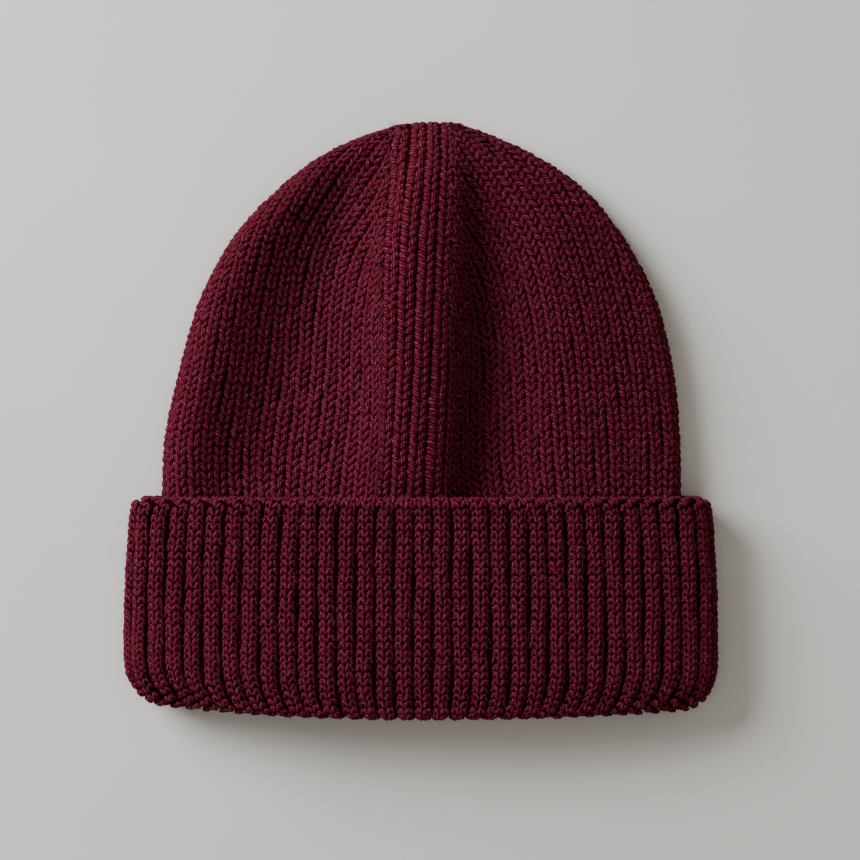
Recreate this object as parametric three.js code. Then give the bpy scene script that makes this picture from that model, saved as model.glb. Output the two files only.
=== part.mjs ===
// A chunky ribbed beanie with a deep turned-up cuff, lying flat on its back.
// Millimetres. X runs across the hat, +Y from the mouth to the tip of the crown, +Z up.
// The origin is at the middle of the underside, on the surface that the hat lies on.
//
// Two knitted pieces: the crown, a dome with its inner band reaching down into the cuff,
// and the cuff, a band turned up on the outside with a rounded fold at the mouth.
// Every piece is a loft: closed rings in planes across Y, each ring drawn through one row
// of a table. The inner face of a wall is the same ring with a depth taken off.

import * as THREE from 'three';

// ---- driving dimensions ----

const CROWN_WALL = 3.9; // thickness of the knitted crown
const CUFF_WALL = 5; // thickness of the plump ribbed cuff
const GAP = 0.3; // clearance between the two pieces
const HOOK_DEPTH = CUFF_WALL + GAP + CROWN_WALL; // what the fold at the mouth wraps round

const CUFF_TOP = -28.4; // top edge of the cuff along Y
const CUFF_ROLL = 2.5; // how far the soft roll of the top edge reaches down
const HOOK_TOP = -100.7; // where the fold ends inside the mouth
const MOUTH = -109.8; // lowest point of the fold
const FOLD_DEPTH = 5; // height of the rounded fold

const BOW_LEFT = 5.2; // how much higher the fold sits at the left corner
const BOW_RIGHT = 2.8; // and at the right corner
const BOW_WIDTH = 104; // measured at this distance from the middle
const BOW_FADE = 45; // the bow dies out over this height

const SIDE_REACH = 10; // the round of a side reaches this far in, at the foot and the shoulder
const SIDE_SHARE = 0.24; // or this share of the ring's width, where that is less
const ROUND = 1 - Math.SQRT1_2; // how much of its reach a quarter round has used half way

const CROWN_TIP = [4.6, 109.8, 5.4];
const CROWN_HOLLOW_END = [4.8, 105.4, 6.4]; // the hollow's far end, under the tip
const HOLLOW_LAST_ROW = 12; // the table row where the crown's inner face closes

const RING_STEPS = 3; // points of a ring from each fold to the next
const RING_FLAT_POINTS = 8; // points along its flat underside
const CROWN_STEPS_PER_ROW = 2;
const CUFF_STEPS = 7; // rings along each face of the cuff
const ROLL_STEPS = 4; // rings round each quarter of a rolled edge
const HALVINGS = 40; // halvings of the cuff's table that find a height in it

const WOOL_COLOUR = 0x5c1624;

// ---- sections ----

// One row for each section of the crown. left and right are the outline, under the height
// of the underside, side the height of the widest point, leftTop and rightTop the heights
// just inside the sides. The rest are the folds that run up the crown, each with its place
// across (X) and its height (Z): the long valley on the left, the rise beside it, the crest
// of the middle ridge, the brow where the ridge drops away, the deep dent, and the plain
// right side.
const SECTION_COLUMNS = [
  'y', 'left', 'right', 'under', 'side', 'leftTop', 'rightTop', 'valleyX', 'valleyZ',
  'riseX', 'riseZ', 'crestX', 'crestZ', 'browX', 'browZ', 'dentX', 'dentZ', 'plainX', 'plainZ',
];
const CROWN_SECTIONS = [
  [-100.4, -104.2, 104.3, 5.3, 10.4, 15.1, 15.1, -60, 19.8, -32, 21.5, -4, 22.0, 8, 22.0, 21, 21.7, 60, 19.8],
  [-76, -104.3, 104.3, 5.3, 10.4, 15.1, 15.1, -60, 19.7, -32, 21.4, -4, 22.0, 8, 21.9, 21, 21.5, 60, 19.7],
  [-54, -102.8, 103.0, 5.3, 10.4, 15.0, 15.0, -61, 19.3, -33, 21.0, -4, 21.9, 8, 21.7, 21, 20.6, 54, 20.0],
  [-40, -99.8, 100.4, 5.3, 10.2, 14.8, 14.8, -65, 17.8, -35, 20.0, -4, 21.8, 8, 21.3, 21, 17.6, 48, 20.4],
  [-30, -96.6, 97.2, 5.2, 9.8, 14.6, 14.6, -70, 16.0, -36, 19.6, -3.5, 21.9, 8, 21.2, 21, 15.0, 46, 20.5],
  [-19, -95.8, 97.0, 2.4, 8.0, 14.0, 14.0, -71, 14.2, -36, 20.0, -3, 25.6, 8.3, 24.0, 21, 12.8, 46, 20.4],
  [-5, -94.9, 96.7, 0, 6.4, 13.6, 13.4, -70, 13.2, -36, 20.4, -2.5, 27.6, 8.8, 25.4, 22, 12.2, 46, 20.3],
  [20, -89.4, 94.0, 0, 6.2, 13.6, 13.2, -64, 13.2, -34, 20.8, -2, 28.8, 9.5, 26.4, 23, 13.0, 46, 20.3],
  [45, -82.0, 87.7, 0, 6.2, 13.4, 13.0, -55, 13.8, -28, 21.4, 0, 29.0, 10.5, 26.4, 24, 14.6, 46, 20.2],
  [68, -69.7, 75.6, 0, 6.0, 13.0, 12.8, -43, 14.4, -20, 21.6, 3, 28.0, 12, 25.4, 24, 17.2, 44, 19.6],
  [86, -53.2, 60.8, 0, 5.8, 12.4, 12.2, -30, 14.4, -12, 20.2, 4.5, 25.2, 12.5, 23.4, 21.5, 18.6, 34, 17.0],
  [97.5, -37.0, 43.4, 0, 5.6, 11.2, 11.0, -18, 13.6, -6, 17.6, 5, 21.0, 11.5, 20.0, 18, 17.2, 26, 15.0],
  [105.2, -20.4, 26.6, 0.6, 5.5, 9.6, 9.4, -9, 11.6, -2, 13.8, 5, 15.6, 9.5, 15.0, 13.5, 13.6, 18, 12.0],
  [108.9, -7.0, 15.6, 2.6, 5.4, 7.8, 7.8, -1.5, 8.8, 1.5, 9.5, 4.6, 9.8, 7, 9.7, 9.2, 9.3, 11.2, 8.7],
];

// The cuff is the same height all along, so its table has only its outline.
const CUFF_COLUMNS = ['y', 'left', 'right'];
const CUFF_SECTIONS = [
  [-109.8, -104.0, 104.6],
  [-105, -107.8, 108.4],
  [-100, -109.6, 109.7],
  [-92, -110.0, 110.0],
  [-66, -109.8, 109.8],
  [-45, -108.8, 108.8],
  [-34, -107.8, 108.0],
  [-31, -106.6, 106.8],
  [-28.4, -103.6, 103.8],
];
const CUFF_HEIGHTS = {
  under: 0, side: 10.4, leftTop: 20.5, rightTop: 20.5,
  valleyX: -60, valleyZ: 25.2, riseX: -32, riseZ: 26.9, crestX: -4, crestZ: 27.4,
  browX: 8, browZ: 27.4, dentX: 21, dentZ: 27.1, plainX: 60, plainZ: 25.2,
};

// A smooth curve through the rows of a table; place 0 is the first row, 1 the second.
function sampler(columns, rows) {
  const places = rows.map((row, index) => index);
  const spline = new THREE.CubicInterpolant(places, rows.flat(), columns.length);
  return (place) => {
    const values = spline.evaluate(place);
    return Object.fromEntries(columns.map((name, index) => [name, values[index]]));
  };
}

const crownRow = sampler(SECTION_COLUMNS, CROWN_SECTIONS);
const cuffRow = sampler(CUFF_COLUMNS, CUFF_SECTIONS);

// The place in the cuff's table that has this y.
function cuffPlace(y) {
  let low = 0;
  let high = CUFF_SECTIONS.length - 1;
  for (let step = 0; step < HALVINGS; step++) {
    const middle = (low + high) / 2;
    if (cuffRow(middle).y < y) low = middle;
    else high = middle;
  }
  return (low + high) / 2;
}

// The fold at the mouth is bowed: its corners sit higher than its middle.
function bow(x, y) {
  const reach = (x / BOW_WIDTH) ** 2 * (x < 0 ? BOW_LEFT : BOW_RIGHT);
  return reach * (1 - THREE.MathUtils.smoothstep(y, MOUTH, MOUTH + BOW_FADE));
}

// A closed ring across the hat, taken in by depth all round: up the round left side, over
// the folds, down the round right side, then back along the flat underside.
function ring(row, depth) {
  const reach = Math.min(SIDE_REACH, (row.right - row.left) * SIDE_SHARE);
  const under = Math.max(row.under, 0) + depth;
  const quarter = (from, to) => THREE.MathUtils.lerp(from, to, ROUND);
  const left = row.left + depth;
  const right = row.right - depth;
  const leftTop = row.leftTop - depth;
  const rightTop = row.rightTop - depth;
  const folds = [
    [left + reach, under],
    [quarter(left, left + reach), quarter(under, row.side)],
    [left, row.side],
    [quarter(left, left + reach), quarter(leftTop, row.side)],
    [left + reach, leftTop],
    [row.valleyX, row.valleyZ - depth],
    [row.riseX, row.riseZ - depth],
    [row.crestX, row.crestZ - depth],
    [row.browX, row.browZ - depth],
    [row.dentX, row.dentZ - depth],
    [row.plainX, row.plainZ - depth],
    [right - reach, rightTop],
    [quarter(right, right - reach), quarter(rightTop, row.side)],
    [right, row.side],
    [quarter(right, right - reach), quarter(under, row.side)],
    [right - reach, under],
  ].map(([x, z]) => new THREE.Vector3(x, row.y, z));
  const outline = new THREE.CatmullRomCurve3(folds, false, 'centripetal');
  const points = outline.getPoints((folds.length - 1) * RING_STEPS);
  const first = points[0];
  const last = points[points.length - 1];
  for (let index = 1; index <= RING_FLAT_POINTS; index++) {
    points.push(last.clone().lerp(first, index / (RING_FLAT_POINTS + 1)));
  }
  for (const point of points) {
    point.z = Math.max(point.z, under);
    point.y += bow(point.x, point.y);
  }
  return points;
}

// ---- skins ----

// Triangles between rings of equal length. Each ring joins the next, and a ring of one
// point closes an end; with loop set, the last ring joins the first.
function skin(rings, loop) {
  const starts = [];
  const positions = [];
  for (const points of rings) {
    starts.push(positions.length / 3);
    for (const point of points) positions.push(point.x, point.y, point.z);
  }
  const faces = [];
  const joins = loop ? rings.length : rings.length - 1;
  for (let index = 0; index < joins; index++) {
    const next = (index + 1) % rings.length;
    const count = Math.max(rings[index].length, rings[next].length);
    for (let side = 0; side < count; side++) {
      const turn = (side + 1) % count;
      const near = (offset) => starts[index] + (rings[index].length > 1 ? offset : 0);
      const far = (offset) => starts[next] + (rings[next].length > 1 ? offset : 0);
      if (rings[index].length > 1) faces.push(near(side), near(turn), far(side));
      if (rings[next].length > 1) faces.push(near(turn), far(turn), far(side));
    }
  }
  const geometry = new THREE.BufferGeometry();
  geometry.setAttribute('position', new THREE.Float32BufferAttribute(positions, 3));
  geometry.setIndex(faces);
  geometry.computeVertexNormals();
  return geometry;
}

function knitPiece(name, geometry) {
  const wool = new THREE.MeshStandardMaterial({ color: WOOL_COLOUR, roughness: 0.95, metalness: 0 });
  const mesh = new THREE.Mesh(geometry, wool);
  mesh.name = name;
  return mesh;
}

// ---- crown: inner face from the hollow's end to the rim, outer face from the rim to the tip ----

function crownRings(lastRow, depth) {
  const steps = lastRow * CROWN_STEPS_PER_ROW;
  return Array.from({ length: steps + 1 }, (_, step) => (
    ring(crownRow(step / CROWN_STEPS_PER_ROW), depth)
  ));
}

function crown() {
  const hollowEnd = [new THREE.Vector3(...CROWN_HOLLOW_END)];
  const tip = [new THREE.Vector3(...CROWN_TIP)];
  const inner = crownRings(HOLLOW_LAST_ROW, CROWN_WALL).reverse();
  const outer = crownRings(CROWN_SECTIONS.length - 1, 0);
  return knitPiece('crown', skin([hollowEnd, ...inner, ...outer, tip], false));
}

// ---- cuff: a band with a rolled top edge and a hook-shaped fold at the mouth ----

function cuff() {
  const rings = [];
  const add = (y, depth) => {
    rings.push(ring({ ...CUFF_HEIGHTS, ...cuffRow(cuffPlace(y)), y }, depth));
  };
  const foldTop = MOUTH + FOLD_DEPTH;
  const rollStart = CUFF_TOP - CUFF_ROLL;
  for (let step = 0; step <= CUFF_STEPS; step++) {
    add(THREE.MathUtils.lerp(foldTop, rollStart, step / CUFF_STEPS), 0);
  }
  for (let step = 1; step < 2 * ROLL_STEPS; step++) {
    const angle = (Math.PI / 2) * (step / ROLL_STEPS);
    add(rollStart + CUFF_ROLL * Math.sin(angle), (CUFF_WALL / 2) * (1 - Math.cos(angle)));
  }
  for (let step = 0; step <= CUFF_STEPS; step++) {
    add(THREE.MathUtils.lerp(rollStart, HOOK_TOP, step / CUFF_STEPS), CUFF_WALL);
  }
  add(HOOK_TOP, HOOK_DEPTH);
  for (let step = 0; step < 2 * ROLL_STEPS; step++) {
    const angle = (Math.PI / 2) * (step / ROLL_STEPS);
    add(foldTop - FOLD_DEPTH * Math.sin(angle), (HOOK_DEPTH / 2) * (1 + Math.cos(angle)));
  }
  return knitPiece('cuff', skin(rings, true));
}

const beanie = new THREE.Group();
beanie.add(crown(), cuff());
export default beanie;
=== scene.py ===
# A chunky ribbed beanie in burgundy wool, lying flat on its back, knitted stitch by stitch.
# Shapes are worked out in millimetres and turned into metres as each mesh is made.

import math

import bpy
import numpy as np
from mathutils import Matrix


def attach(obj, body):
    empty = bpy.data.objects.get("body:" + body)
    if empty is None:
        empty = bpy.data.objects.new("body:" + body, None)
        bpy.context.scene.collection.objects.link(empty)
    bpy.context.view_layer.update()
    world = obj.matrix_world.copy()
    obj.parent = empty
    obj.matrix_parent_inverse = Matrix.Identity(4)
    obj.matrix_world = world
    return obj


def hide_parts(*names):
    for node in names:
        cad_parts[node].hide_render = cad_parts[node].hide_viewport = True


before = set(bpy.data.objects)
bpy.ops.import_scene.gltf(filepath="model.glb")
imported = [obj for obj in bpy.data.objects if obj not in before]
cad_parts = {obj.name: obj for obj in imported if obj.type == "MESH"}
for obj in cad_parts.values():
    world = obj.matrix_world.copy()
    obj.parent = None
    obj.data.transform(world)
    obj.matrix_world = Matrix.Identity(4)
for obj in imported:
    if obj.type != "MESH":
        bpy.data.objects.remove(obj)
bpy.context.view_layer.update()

MM = 0.001
NEAR = 1e-6

# ---- the hat's shape: x runs across it, y from the mouth to the tip, z up off the floor ----

# The cuff's wall, and how deep under its face the edge turned in at the mouth lies. The fold
# there and the roll along the top edge are rounds that reach this far along y.
CUFF_WALL = 5.0
HOOK_DEPTH = 9.2
MOUTH = -109.8
FOLD_DEPTH = 5.0
CUFF_TOP = -28.4
CUFF_ROLL = 2.5
FOLD_TOP = MOUTH + FOLD_DEPTH
ROLL_START = CUFF_TOP - CUFF_ROLL
# The face sinks by FOLD_EASE as it comes down to the fold.
FOLD_EASE = 2.0
EASE_FROM = -90.0
# The mouth's corners, BOW_WIDTH out, sit further up than its middle. This fades out up the hat.
BOW_LEFT = 5.2
BOW_RIGHT = 2.8
BOW_WIDTH = 104.0
BOW_FADE = 45.0
# The rounded sides: how far in they reach, and at most what share of the width.
SIDE_REACH = 10.0
SIDE_SHARE = 0.24
ROUND = 1 - math.sqrt(0.5)
CROWN_WALL = 3.9
CROWN_TIP = np.array([4.6, 110.9, 5.4])
FLOOR_CLEAR = 0.02

# The crown's sections from the cuff to the tip, one value each: y, the outline, the heights of
# the underside, the sides and the top's two ends, then the folds over the top from left to
# right. The folds are drawn a little deeper than the frame's plain crown.
CROWN_SECTIONS = {
    "y": [-100.4, -76, -54, -40, -30, -19, -5, 20, 45, 68, 86, 97.5, 105.2, 109.9],
    "left": [-104.2, -104.3, -102.8, -99.8, -96.6, -95.8, -94.9,
             -89.4, -82.0, -69.7, -53.2, -38.6, -23.0, -7.0],
    "right": [104.3, 104.3, 103.0, 100.4, 97.2, 97.0, 96.7, 94.0, 87.7, 75.6, 60.8, 44.4, 28.4, 15.6],
    "under": [5.3, 5.3, 5.3, 5.3, 5.2, 2.4, 0, 0, 0, 0, 0, 0, 0.6, 2.6],
    "side": [10.4, 10.4, 10.4, 10.2, 9.8, 8.2, 7.0, 7.0, 7.0, 6.6, 6.0, 5.6, 5.5, 5.4],
    "leftTop": [15.1, 15.1, 15.0, 15.4, 17.2, 18.4, 18.8, 19.2, 19.2, 18.0, 15.2, 12.0, 9.6, 7.8],
    "rightTop": [15.1, 15.1, 15.0, 14.8, 14.6, 14.0, 13.4, 13.2, 13.0, 12.8, 12.2, 11.0, 9.4, 7.8],
    "valleyX": [-60, -60, -61, -65, -64, -62, -58, -49, -41, -33, -25.5, -17, -9, -1.5],
    "valleyZ": [19.8, 19.7, 19.3, 17.6, 14.2, 11.6, 10.6, 9.8, 9.6, 10.0, 11.0, 11.6, 11.2, 8.8],
    "riseX": [-32, -32, -33, -35, -35, -31, -29, -27, -26, -21, -14.5, -9, -4, 1.5],
    "riseZ": [21.5, 21.4, 21.0, 19.8, 17.4, 16.2, 15.4, 15.0, 14.8, 15.0, 16.0, 15.2, 13.4, 9.5],
    "crestX": [-4, -4, -4, -6, -8.5, -9.5, -10, -10, -9.5, -7, -3, 0, 2.5, 4.6],
    "crestZ": [22.0, 22.0, 21.9, 21.8, 22.8, 25.4, 27.2, 28.2, 28.8, 28.0, 25.2, 20.6, 15.6, 9.8],
    "browX": [8, 8, 8, 8, 8, 8.3, 8.8, 9.5, 10.5, 12, 12.5, 11.5, 9.5, 7],
    "browZ": [22.0, 21.9, 21.7, 21.3, 21.4, 24.2, 25.6, 26.8, 26.8, 25.8, 23.4, 19.6, 15.0, 9.7],
    "dentX": [21, 21, 21, 21, 21, 21, 22, 23, 24, 24, 21.5, 18, 13.5, 9.2],
    "dentZ": [21.7, 21.5, 20.6, 17.6, 15.2, 12.8, 12.0, 12.4, 13.6, 16.2, 18.0, 17.0, 13.6, 9.3],
    "plainX": [60, 60, 54, 48, 48, 48, 48, 48, 47, 44, 34, 26, 18, 11.2],
    "plainZ": [19.8, 19.7, 20.0, 20.0, 19.4, 18.8, 18.4, 18.4, 18.4, 18.2, 16.4, 14.8, 12.0, 8.7],
}
CROWN_TABLE = np.array(list(CROWN_SECTIONS.values())).T
FOLDS = ("valley", "rise", "crest", "brow", "dent", "plain")

# The cuff's outline, as y, left and right, and its heights, which are the same all the way up.
CUFF_OUTLINE = np.array([
    [-109.8, -104.0, 104.6],
    [-105, -107.8, 108.4],
    [-100, -109.6, 109.7],
    [-92, -110.0, 110.0],
    [-66, -109.8, 109.8],
    [-45, -108.8, 108.8],
    [-34, -107.8, 108.0],
    [-31, -106.6, 106.8],
    [-28.4, -103.6, 103.8],
])
CUFF_HEIGHTS = {
    "under": 0, "side": 10.4, "leftTop": 20.5, "rightTop": 20.5,
    "valleyX": -60, "valleyZ": 25.2, "riseX": -32, "riseZ": 26.9, "crestX": -4, "crestZ": 27.4,
    "browX": 8, "browZ": 27.4, "dentX": 21, "dentZ": 27.1, "plainX": 60, "plainZ": 25.2,
}

# How finely the surfaces are worked out. STEP_OVER lets a range take in its end, and GRID_END
# keeps a place inside its grid.
TABLE_STEPS = 400
RING_STEPS = 10
FLAT_POINTS = 24
HALF_POINTS = 121
SIDE_POINT = HALF_POINTS // 2
CROWN_RINGS = 180
TIP_RINGS = 12
ROW_PARTS = 4
LINE_POINTS = 161
AT_SIDE = LINE_POINTS // 2
SHEET_STEP = 0.1
CUFF_STEP = 0.25
LIP_POINTS = 12
TURN_POINTS = 25
FACE_POINTS = 60
INSIDE_POINTS = 6
GRID_END = 1.001
STEP_OVER = 0.01

# ---- where the knitting runs ----

# The band of four ribs up the crown's middle: its middle line, and how far to each side of that
# the edges of its ribs are at these heights.
BAND_MIDDLE_Y = [-40, -30, -11, 18, 45, 62, 86, 96, 110]
BAND_MIDDLE_X = [-2.6, -2.2, -1.2, 0.7, 1.8, 2.6, 4.2, 4.8, 4.8]
BAND_RIBS = [-2.0, -1.0, 0.0, 1.0]
BAND_EDGES = [-2.5, -1.5, -0.5, 0.5, 1.5]
BAND_HEIGHTS = [-36, -11, 62, 96, 110]
BAND_REACH = np.array([[-14.6, -9.6, -3.4, 3.4, 11.2],
                       [-14.4, -9.4, -3.3, 3.3, 11.1],
                       [-17.0, -10.8, -3.4, 3.4, 9.4],
                       [-16.4, -10.1, -2.8, 2.8, 8.3],
                       [-14.0, -8.5, -2.6, 2.6, 8.0]])
BAND_SPARE = 0.2

# The wales beside the band. From FAN_START to FAN_END they turn from sharing out each row to
# running beside the guide, which leaves the hat's side at GUIDE_FROM and leans in by degrees.
WALE_PITCH = 5.0
WALES = 24
WALE_REACH = 26
FAN_START = 0.0
FAN_END = 75.0
GUIDE_FROM = -12.0
GUIDE_STEP = 1.5
WALE_HEIGHTS = [-12, 0, 20, 45, 66, 84, 100, 130]
WALE_LEANS = [0, 3, 6, 11, 16, 23, 31, 38]
# Below the crown the side's line runs on, by these multiples of its first RUN_ON_RINGS rings.
RUN_ON_RINGS = 8
RUN_ON_STEPS = np.linspace(8, 0.2, 20)
# How close and how wide apart the wales may be, in wales to each WALE_PITCH.
CLOSEST = 1.45
WIDEST = 0.78
# How far the outer wales tuck under the band, how softly they are pressed together there, how
# many past its edge are kept, and the least share of WALE_PITCH a stitch is knitted at.
TUCK = 0.35
SQUEEZE = 0.5
EDGE_SPARE = 0.65
LEAST_PITCH = 0.2

# The crown's rows, and where the stitches stop at the tip. No yarn goes past TIP_LIMIT.
STITCH_ROW = 2.95
CROWN_ROWS = 50
CROWN_FIRST_Y = -36.0
LAST_ROW = 49.9
LAST_Y = 110.4
LAST_BAND_Y = 111.0
TIP_LIMIT = 109.2

# The cuff's ribs and rows. Lengths are from inside the mouth, round the fold and up the face:
# the hem's stitches end at HEM_TO, out of sight to HEM_HIDDEN_TO, and those over the top edge
# start at EDGE_FROM.
CUFF_RIBS = 66
CUFF_ROW = 2.7
CUFF_ROW_SHIFT = 0.2
CUFF_MIDDLE_X = 0.9
LIP_TOP = -88.0
INSIDE_END = -36.0
HEM_TO = 31.0
HEM_HIDDEN_TO = 17
EDGE_FROM = 103.5

# Slow waves in the ribs: each one's size in ribs, and its turn for a row and for a rib.
CROWN_SWAY = ((0.05, 0.31, 1.7), (0.03, 0.83, 2.9))
CUFF_SWAY = ((0.035, 0.27, 2.1), (0.02, 0.71, 1.3))

# Above DRAWN_FROM and left of DRAWN_X the crown's ribs are drawn in, so they stand up more.
DRAWN_FROM = 38.0
DRAWN_X = -10.0
DRAWN_FADE = 22.0
DRAWN_RELIEF = 0.6

# ---- stitches, fibres and backing ----

# One stitch: pitch and row are the sizes it is drawn at, round the rib's radius as a share of
# the pitch, relief how much of that roundness stands up, and depth how far down the yarn lies.
# Each leg is its angle round the rib at its foot and head, and those ends in rows; bend is how
# late it turns from one angle to the other. The dives are how far its ends sink, and taper how
# much thinner they are. thick is the yarn's radius, and sides how many it is drawn with.
SMOOTH_KNIT = {
    "pitch": 5.0, "row": STITCH_ROW, "round": 0.45, "relief": 1.0, "depth": 1.05, "bend": 0.9,
    "legs": [(-0.06, -1.14, -0.72, 0.64), (0.12, 1.14, -0.66, 0.62)],
    "foot_dive": 0.55, "head_dive": 0.6, "taper": 0.2, "thick": 1.1, "sides": 8,
}
BAND_KNIT = {**SMOOTH_KNIT, "pitch": 6.2, "round": 0.43, "thick": 1.22}
CUFF_KNIT = {
    "pitch": 7.1, "row": CUFF_ROW, "round": 0.415, "relief": 0.75, "depth": 0.85, "bend": 1.4,
    "legs": [(-1.02, -0.60, -0.56, 0.34), (-0.12, -0.52, -0.56, 0.34),
             (0.12, 0.52, -0.56, 0.34), (1.02, 0.60, -0.56, 0.34)],
    "foot_dive": 0.5, "head_dive": 0.1, "taper": 0.1, "thick": 0.83, "sides": 6,
}
EDGE_KNIT = {**CUFF_KNIT, "round": 0.5, "relief": 0.25, "depth": 0.4, "thick": 0.97}
HEM_KNIT = {**CUFF_KNIT, "round": 0.43, "relief": 0.55, "thick": 0.98}
DIVE_POWER = 2.2
TAPER_POWER = 2.5
SEEN_STEPS = 5
HIDDEN_STEPS = 4
HIDDEN_SIDES = 4
# How far a leg strays across its rib in ribs, along it in rows, and up. Its radius varies too.
STRAY_ACROSS = 0.02
STRAY_ALONG = 0.06
STRAY_UP = 0.07
YARN_VARIES = 0.06
# How far a stitch follows the sheet's pitch, row height and lean.
SCALES = (0.45, 1.3)
LEAST_ROW = 0.3
LEAST_UP = 0.1
MOST_LEAN = 2
# Stitches whose normals point further down than this belong to the underside.
UNDER_SLOPE = -0.35

# Loose fibres: how long and thick they are, how they stand, stray and curl, how deep they are
# rooted, how much they thin, and where they grow.
CROWN_FUZZ = 2000
CUFF_FUZZ = 3000
FUZZ_LENGTH = (0.8, 2.4)
FUZZ_RADIUS = 0.05
FUZZ_RINGS = 3
FUZZ_SIDES = 3
FUZZ_TRIES = 6
FUZZ_STAND = 0.55
FUZZ_STRAY = 0.6
FUZZ_CURL = 0.45
FUZZ_ROOT = 0.9
FUZZ_THINS = 0.6
FUZZ_SIDE_SLOPE = 0.6
FUZZ_LOWEST = -0.3
FUZZ_LAST_ROW = 47.0
FUZZ_TOP_ROWS = 2

CROWN_SEED = 7
CROWN_FUZZ_SEED = 23
CUFF_SEED = 11
CUFF_FUZZ_SEED = 31

# The fabric behind the stitches: how deep it lies, its rings, and the places in the tables of
# sections where the crown's outside and inside end.
BACKING_DEPTH = 1.8
BACKING_TOP = 12.55
BACKING_INNER_TOP = 12
BACKING_OUTER_RINGS = 53
BACKING_INNER_RINGS = 31
CLOSING = (0.5, 0.02)
CUFF_BACKING_DEPTH = 2.1
CUFF_BACKING_LEAST = 0.1
CUFF_BACKING_RINGS = 26
CUFF_BACKING_TURN = 13
HOOK_TOP = -100.7

# Each tube's square on its map: where the wall starts and how much it takes, along and round,
# and where the two ends go beside it, as small ovals.
WALL_START = np.array([0.14, 0.06])
WALL_SPAN = np.array([0.72, 0.88])
CAP_PLACES = (0.07, 0.93)
CAP_RADII = (0.05, 0.4)

# ---- colours ----

# The yarn's colour runs from the deep to the rich one: partly random tone, partly painted shade in the
# grooves between strands and on the yarn's sides.
DEEP_WOOL = (0.034, 0.0001, 0.0028, 1)
RICH_WOOL = (0.078, 0.0006, 0.0085, 1)
# The pale flecks' colour: partly the fibres' own paler tone, partly painted highlights.
PALE_FIBRE_AND_HIGHLIGHT = (0.30, 0.084, 0.15, 1)
WOOL_SHEEN = (1.0, 0.45, 0.6, 1.0)
# The crown's wool is coloured this share darker than the cuff's, as painted shade.
CROWN_PAINTED_SHADE = 0.12
FIBRE_DARK = (0.11, 0.004, 0.018, 1)
FIBRE_LIGHT = (0.34, 0.10, 0.16, 1)
STRAND_SPACING = 1.45
STRANDS = 6.0
# The backing fabrics' colours, behind the crown and the cuff, are far darker than the yarn's: painted
# shade between the stitches and inside the mouth.
PAINTED_SHADE_BACK_DARK = (0.006, 0.0002, 0.0008, 1)
PAINTED_SHADE_BACK_LIGHT = (0.013, 0.0004, 0.0016, 1)
PAINTED_SHADE_GROOVE_DARK = (0.006, 0.0002, 0.0007, 1)
PAINTED_SHADE_GROOVE_LIGHT = (0.018, 0.0006, 0.0020, 1)
FLOOR_DARK = (0.56, 0.56, 0.54, 1)
FLOOR_LIGHT = (0.64, 0.64, 0.62, 1)


# ---- curves, rings and sheets ----

def smooth_through(table, place):
    """A smooth curve through the rows of a table; place 0 is the first row, 1 the second."""
    rows = np.vstack([2 * table[0] - table[1], table, 2 * table[-1] - table[-2]])
    place = np.clip(np.asarray(place, float), 0, len(table) - 1)
    low = np.minimum(place.astype(int), len(table) - 2)
    t = (place - low)[..., None]
    a, b, c, d = (rows[low + k] for k in range(4))
    return b + 0.5 * t * ((c - a) + t * ((2 * a - 5 * b + 4 * c - d) + t * (3 * b - a - 3 * c + d)))


def centripetal(folds, steps):
    """The curve through each ring's folds, (rings, folds, 2) to (rings, points, 2)."""
    ends = 2 * folds[:, :1] - folds[:, 1:2], 2 * folds[:, -1:] - folds[:, -2:-1]
    p = np.concatenate([ends[0], folds, ends[1]], axis=1)
    gap = np.sqrt(np.linalg.norm(np.diff(p, axis=1), axis=2))[..., None]
    a, b, c, d = p[:, :-3], p[:, 1:-2], p[:, 2:-1], p[:, 3:]
    g0, g1, g2 = gap[:, :-2], gap[:, 1:-1], gap[:, 2:]
    leaving = ((b - a) / g0 - (c - a) / (g0 + g1) + (c - b) / g1) * g1
    arriving = ((c - b) / g1 - (d - b) / (g1 + g2) + (d - c) / g2) * g1
    t = (np.arange(steps) / steps)[None, None, :, None]
    b, c, leaving, arriving = (x[:, :, None] for x in (b, c, leaving, arriving))
    run = b + t * (leaving + t * ((3 * c - 3 * b - 2 * leaving - arriving)
                                  + t * (2 * b - 2 * c + leaving + arriving)))
    run = run.reshape(len(folds), -1, 2)
    return np.concatenate([run, folds[:, -1:]], axis=1)


def eased(share):
    """0 to 1, gentle at both ends."""
    return share * share * (3 - 2 * share)


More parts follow.
